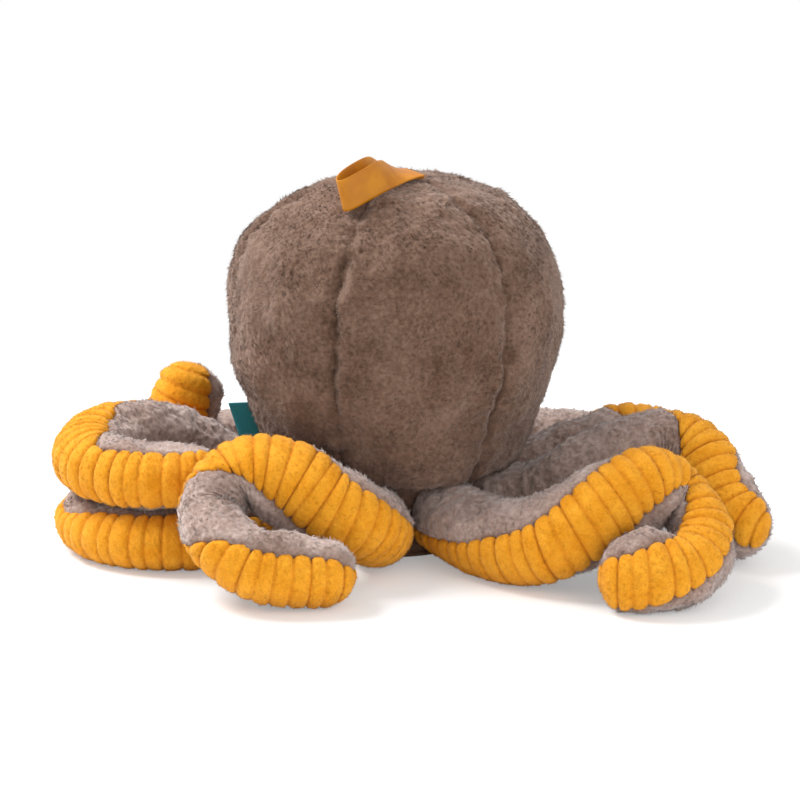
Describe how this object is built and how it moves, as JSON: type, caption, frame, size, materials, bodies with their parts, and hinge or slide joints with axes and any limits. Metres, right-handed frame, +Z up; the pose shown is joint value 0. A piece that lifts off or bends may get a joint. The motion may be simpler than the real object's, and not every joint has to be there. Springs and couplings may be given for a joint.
{
  "type": "plush octopus",
  "caption": "Stuffed toy octopus with a gored plush head, curled arms of plush and corduroy, and a ribbon hanging loop on the crown.",
  "frame": {"origin": "middle of the flat base, on the surface that the toy stands on", "axes": "+Z up; +Y the way the face looks; +X to the right in a view of the back. The pictured side is the back, on -Y."},
  "size_m": [0.4077, 0.3324, 0.2335],
  "materials": {
    "taupe_plush": "short-pile plush, matte",
    "yellow_corduroy": "wide-wale corduroy, matte",
    "white_fibre": "loose polyester fibre",
    "amber_satin": "satin ribbon",
    "teal_weave": "woven label, blank",
    "grey_cotton": "plain cotton bag with pellets",
    "black_plastic": "polished",
    "clear_plastic": "moulded, natural"
  },
  "bodies": {
    "body": {"back_gore": "taupe_plush", "back_right_gore": "taupe_plush", "front_right_gore": "taupe_plush", "face_gore": "taupe_plush", "front_left_gore": "taupe_plush", "back_left_gore": "taupe_plush", "left_eye": "black_plastic", "left_eye_washer": "clear_plastic", "right_eye": "black_plastic", "right_eye_washer": "clear_plastic", "head_stuffing": "white_fibre", "base_panel": "taupe_plush", "pellet_bag": "grey_cotton", "side_label": "teal_weave"},
    "arm_1": {"arm_1_back": "taupe_plush", "arm_1_corduroy": "yellow_corduroy", "arm_1_stuffing": "white_fibre"},
    "arm_2": {"arm_2_back": "taupe_plush", "arm_2_corduroy": "yellow_corduroy", "arm_2_stuffing": "white_fibre"},
    "arm_3": {"arm_3_back": "taupe_plush", "arm_3_corduroy": "yellow_corduroy", "arm_3_stuffing": "white_fibre"},
    "arm_4": {"arm_4_back": "taupe_plush", "arm_4_corduroy": "yellow_corduroy", "arm_4_stuffing": "white_fibre"},
    "arm_5": {"arm_5_back": "taupe_plush", "arm_5_corduroy": "yellow_corduroy", "arm_5_stuffing": "white_fibre"},
    "arm_6": {"arm_6_back": "taupe_plush", "arm_6_corduroy": "yellow_corduroy", "arm_6_stuffing": "white_fibre"},
    "arm_7": {"arm_7_back": "taupe_plush", "arm_7_corduroy": "yellow_corduroy", "arm_7_stuffing": "white_fibre"},
    "arm_8": {"arm_8_back": "taupe_plush", "arm_8_corduroy": "yellow_corduroy", "arm_8_stuffing": "white_fibre"},
    "loop": {"hanging_loop": "amber_satin"}
  },
  "joints": [
    {"name": "arm_1_root", "type": "hinge", "parent": "body", "child": "arm_1", "pos_m": [-0.02295, -0.05541, 0.0243], "axis": [-0.9239, 0.3827, 0], "range_deg": [-20, 10]},
    {"name": "arm_2_root", "type": "hinge", "parent": "body", "child": "arm_2", "pos_m": [-0.05541, -0.02295, 0.0243], "axis": [-0.3827, 0.9239, 0], "range_deg": [-15, 0]},
    {"name": "arm_3_root", "type": "hinge", "parent": "body", "child": "arm_3", "pos_m": [-0.05541, 0.02295, 0.0243], "axis": [0.3827, 0.9239, 0], "range_deg": [0, 12]},
    {"name": "arm_4_root", "type": "hinge", "parent": "body", "child": "arm_4", "pos_m": [-0.02295, 0.05541, 0.0243], "axis": [0.9239, 0.3827, 0], "range_deg": [-20, 8]},
    {"name": "arm_5_root", "type": "hinge", "parent": "body", "child": "arm_5", "pos_m": [0.02295, 0.05541, 0.0243], "axis": [0.9239, -0.3827, 0], "range_deg": [-20, 8]},
    {"name": "arm_6_root", "type": "hinge", "parent": "body", "child": "arm_6", "pos_m": [0.05541, 0.02295, 0.0243], "axis": [0.3827, -0.9239, 0], "range_deg": [-25, 8]},
    {"name": "arm_7_root", "type": "hinge", "parent": "body", "child": "arm_7", "pos_m": [0.05541, -0.02295, 0.0243], "axis": [-0.3827, -0.9239, 0], "range_deg": [-6, 10]},
    {"name": "arm_8_root", "type": "hinge", "parent": "body", "child": "arm_8", "pos_m": [0.02295, -0.05541, 0.0243], "axis": [-0.9239, -0.3827, 0], "range_deg": [-20, 15]},
    {"name": "loop_seam", "type": "hinge", "parent": "body", "child": "loop", "pos_m": [0.0122, -0.0125, 0.2165], "axis": [-0.5, 0.866, 0], "range_deg": [0, 65]}
  ]
}
